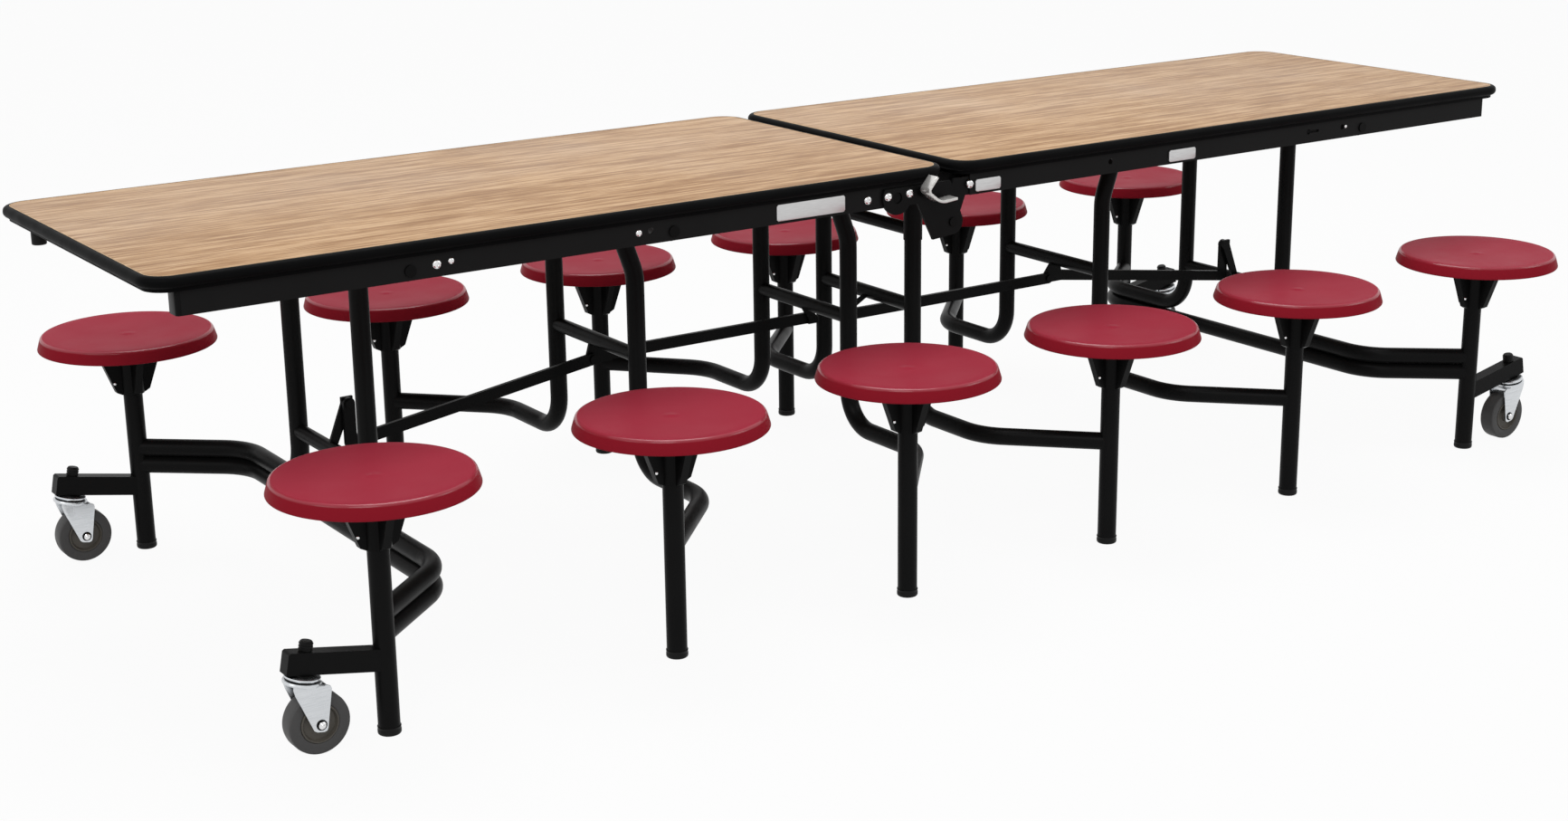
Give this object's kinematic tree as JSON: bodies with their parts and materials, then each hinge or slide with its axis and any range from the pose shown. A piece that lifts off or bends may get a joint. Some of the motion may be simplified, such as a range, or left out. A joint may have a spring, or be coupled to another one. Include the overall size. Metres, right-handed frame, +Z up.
{
  "type": "mobile cafeteria table",
  "caption": "Folding mobile cafeteria table with a wood-look top in two hinged halves, round stools on tube frames along both sides and swivel casters at the ends.",
  "frame": {"origin": "on the floor, under the middle of the centre hinge", "axes": "+X along the length towards the right top, -Y towards the front row of stools, +Z up"},
  "size_m": [3.073, 1.412, 0.737],
  "materials": {
    "laminate": "satin wood-grain laminate",
    "edge_black": "satin black edge band",
    "frame_black": "gloss black powder coat",
    "bolt_black": "black oxide",
    "foot_plastic": "moulded black",
    "seat_red": "satin moulded maroon",
    "bracket_black": "moulded black",
    "zinc": "bright zinc",
    "tyre_grey": "grey moulded rubber",
    "chrome": "bright plated"
  },
  "bodies": {
    "left_top": {"left_board": "laminate", "left_edge_band": "edge_black", "left_rails": "frame_black", "left_pivot_bolts": "bolt_black", "left_hinge_plates": "frame_black", "left_hinge_pin": "bolt_black", "left_centre_beam": "frame_black"},
    "left_outer": {"left_outer_frame": "frame_black", "left_outer_posts": "frame_black", "left_outer_feet": "foot_plastic", "left_outer_seats": "seat_red", "left_outer_seat_brackets": "bracket_black"},
    "left_middle": {"left_middle_frame": "frame_black", "left_middle_posts": "frame_black", "left_middle_feet": "foot_plastic", "left_middle_seats": "seat_red", "left_middle_seat_brackets": "bracket_black"},
    "left_inner": {"left_inner_frame": "frame_black", "left_inner_posts": "frame_black", "left_inner_feet": "foot_plastic", "left_inner_seats": "seat_red", "left_inner_seat_brackets": "bracket_black"},
    "left_outer_bar_link": {"left_outer_bar": "frame_black"},
    "left_inner_bar_link": {"left_inner_bar": "frame_black"},
    "left_front_caster": {"left_front_caster_fork": "zinc"},
    "left_front_roller": {"left_front_wheel": "tyre_grey"},
    "left_back_caster": {"left_back_caster_fork": "zinc"},
    "left_back_roller": {"left_back_wheel": "tyre_grey"},
    "right_top": {"right_board": "laminate", "right_edge_band": "edge_black", "right_rails": "frame_black", "right_pivot_bolts": "bolt_black", "right_hinge_plates": "frame_black", "right_hinge_pin": "bolt_black", "right_centre_beam": "frame_black"},
    "right_outer": {"right_outer_frame": "frame_black", "right_outer_posts": "frame_black", "right_outer_feet": "foot_plastic", "right_outer_seats": "seat_red", "right_outer_seat_brackets": "bracket_black"},
    "right_middle": {"right_middle_frame": "frame_black", "right_middle_posts": "frame_black", "right_middle_feet": "foot_plastic", "right_middle_seats": "seat_red", "right_middle_seat_brackets": "bracket_black"},
    "right_inner": {"right_inner_frame": "frame_black", "right_inner_posts": "frame_black", "right_inner_feet": "foot_plastic", "right_inner_seats": "seat_red", "right_inner_seat_brackets": "bracket_black"},
    "right_outer_bar_link": {"right_outer_bar": "frame_black"},
    "right_inner_bar_link": {"right_inner_bar": "frame_black"},
    "right_front_caster": {"right_front_caster_fork": "zinc"},
    "right_front_roller": {"right_front_wheel": "tyre_grey"},
    "right_back_caster": {"right_back_caster_fork": "zinc"},
    "right_back_roller": {"right_back_wheel": "tyre_grey"},
    "latch": {"latch_lever": "chrome"}
  },
  "joints": [
    {"name": "fold", "type": "hinge", "parent": "left_outer", "child": "left_top", "pos_m": [-1.1, 0, 0.688], "axis": [0, -1, 0], "range_deg": [0, 82]},
    {"name": "left_middle_swing", "type": "hinge", "parent": "left_top", "child": "left_middle", "pos_m": [-0.604, 0, 0.688], "axis": [0, -1, 0], "range_deg": [-82, 0]},
    {"name": "left_inner_swing", "type": "hinge", "parent": "left_top", "child": "left_inner", "pos_m": [-0.128, 0, 0.688], "axis": [0, -1, 0], "range_deg": [-82, 0]},
    {"name": "centre_hinge", "type": "hinge", "parent": "left_top", "child": "right_top", "pos_m": [0, 0, 0.628], "axis": [0, -1, 0], "range_deg": [-164, 0]},
    {"name": "right_inner_swing", "type": "hinge", "parent": "right_top", "child": "right_inner", "pos_m": [0.07, 0, 0.688], "axis": [0, -1, 0], "range_deg": [0, 82]},
    {"name": "right_middle_swing", "type": "hinge", "parent": "right_top", "child": "right_middle", "pos_m": [0.604, 0, 0.688], "axis": [0, -1, 0], "range_deg": [0, 82]},
    {"name": "right_outer_swing", "type": "hinge", "parent": "right_top", "child": "right_outer", "pos_m": [1.1, 0, 0.688], "axis": [0, -1, 0], "range_deg": [0, 82]},
    {"name": "left_outer_bar_swing", "type": "hinge", "parent": "left_outer", "child": "left_outer_bar_link", "pos_m": [-1.066, 0.007, 0.38], "axis": [0, -1, 0], "range_deg": [0, 82]},
    {"name": "left_inner_bar_swing", "type": "hinge", "parent": "left_middle", "child": "left_inner_bar_link", "pos_m": [-0.536, 0.007, 0.38], "axis": [0, -1, 0], "range_deg": [0, 82]},
    {"name": "right_outer_bar_swing", "type": "hinge", "parent": "right_outer", "child": "right_outer_bar_link", "pos_m": [1.066, -0.007, 0.38], "axis": [0, -1, 0], "range_deg": [-82, 0]},
    {"name": "right_inner_bar_swing", "type": "hinge", "parent": "right_middle", "child": "right_inner_bar_link", "pos_m": [0.536, -0.007, 0.38], "axis": [0, -1, 0], "range_deg": [-82, 0]},
    {"name": "latch_turn", "type": "hinge", "parent": "left_top", "child": "latch", "pos_m": [-0.074, -0.366, 0.694], "axis": [0, 1, 0], "range_deg": [0, 20]},
    {"name": "left_front_swivel", "type": "hinge", "parent": "left_outer", "child": "left_front_caster", "pos_m": [-1.402, -0.541, 0.15305], "axis": [0.1908, 0, 0.9816], "continuous": true},
    {"name": "left_front_roll", "type": "hinge", "parent": "left_front_caster", "child": "left_front_roller", "pos_m": [-1.38898, -0.541, 0.0523], "axis": [0, 1, 0], "continuous": true},
    {"name": "left_back_swivel", "type": "hinge", "parent": "left_outer", "child": "left_back_caster", "pos_m": [-1.402, 0.541, 0.15305], "axis": [0.1908, 0, 0.9816], "continuous": true},
    {"name": "left_back_roll", "type": "hinge", "parent": "left_back_caster", "child": "left_back_roller", "pos_m": [-1.38898, 0.541, 0.0523], "axis": [0, 1, 0], "continuous": true},
    {"name": "right_front_swivel", "type": "hinge", "parent": "right_outer", "child": "right_front_caster", "pos_m": [1.402, -0.541, 0.15305], "axis": [-0.1908, 0, 0.9816], "continuous": true},
    {"name": "right_front_roll", "type": "hinge", "parent": "right_front_caster", "child": "right_front_roller", "pos_m": [1.38898, -0.541, 0.0523], "axis": [0, 1, 0], "continuous": true},
    {"name": "right_back_swivel", "type": "hinge", "parent": "right_outer", "child": "right_back_caster", "pos_m": [1.402, 0.541, 0.15305], "axis": [-0.1908, 0, 0.9816], "continuous": true},
    {"name": "right_back_roll", "type": "hinge", "parent": "right_back_caster", "child": "right_back_roller", "pos_m": [1.38898, 0.541, 0.0523], "axis": [0, 1, 0], "continuous": true}
  ],
  "couplings": [
    {"joint": "left_middle_swing", "follows": "fold", "ratio": -1},
    {"joint": "left_inner_swing", "follows": "fold", "ratio": -1},
    {"joint": "centre_hinge", "follows": "fold", "ratio": -2},
    {"joint": "right_inner_swing", "follows": "fold", "ratio": 1},
    {"joint": "right_middle_swing", "follows": "fold", "ratio": 1},
    {"joint": "right_outer_swing", "follows": "fold", "ratio": 1},
    {"joint": "left_outer_bar_swing", "follows": "fold", "ratio": 1},
    {"joint": "left_inner_bar_swing", "follows": "fold", "ratio": 1},
    {"joint": "right_outer_bar_swing", "follows": "fold", "ratio": -1},
    {"joint": "right_inner_bar_swing", "follows": "fold", "ratio": -1}
  ]
}
